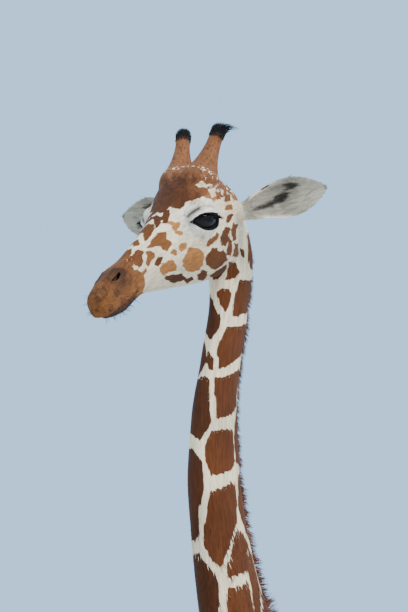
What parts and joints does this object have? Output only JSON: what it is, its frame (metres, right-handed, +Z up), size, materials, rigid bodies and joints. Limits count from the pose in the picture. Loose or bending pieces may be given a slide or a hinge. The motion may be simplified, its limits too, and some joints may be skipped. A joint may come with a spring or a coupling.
{
  "type": "reticulated giraffe",
  "caption": "Life-size still model of a standing reticulated giraffe cow, neck raised, head turned slightly, with a net of pale lines round chestnut patches.",
  "frame": {"origin": "middle of the whole outline in plan, at floor level under the hooves", "axes": "+Z up; the animal faces -Y and its left side is on +X"},
  "size_m": [0.6176, 2.519, 4.3736],
  "materials": {
    "coat": "short flat hair in chestnut patches with ragged edges, parted by cream lines, paler on the face and lower legs",
    "ear": "short cream-grey hair with dark streaks inside the cup",
    "mane": "short stiff upright chestnut hair",
    "black_hair": "coarse black hair",
    "eye": "dark brown, wet gloss",
    "hoof": "dull dark horn with growth rings"
  },
  "bodies": {
    "root": {"head": "coat", "muzzle": "coat", "neck_upper": "coat", "neck_middle": "coat", "neck_lower": "coat", "trunk": "coat", "tail": "coat", "tail_tassel": "black_hair", "ossicone_left": "coat", "ossicone_tuft_left": "black_hair", "ear_left": "ear", "foreleg_upper_left": "coat", "foreleg_lower_left": "coat", "hindleg_upper_left": "coat", "hindleg_lower_left": "coat", "ossicone_right": "coat", "ossicone_tuft_right": "black_hair", "ear_right": "ear", "foreleg_upper_right": "coat", "foreleg_lower_right": "coat", "hindleg_upper_right": "coat", "hindleg_lower_right": "coat", "mane": "mane", "eye_left": "eye", "hoof_front_left_outer": "hoof", "hoof_front_left_inner": "hoof", "hoof_hind_left_outer": "hoof", "hoof_hind_left_inner": "hoof", "eye_right": "eye", "hoof_front_right_outer": "hoof", "hoof_front_right_inner": "hoof", "hoof_hind_right_outer": "hoof", "hoof_hind_right_inner": "hoof"}
  },
  "joints": []
}
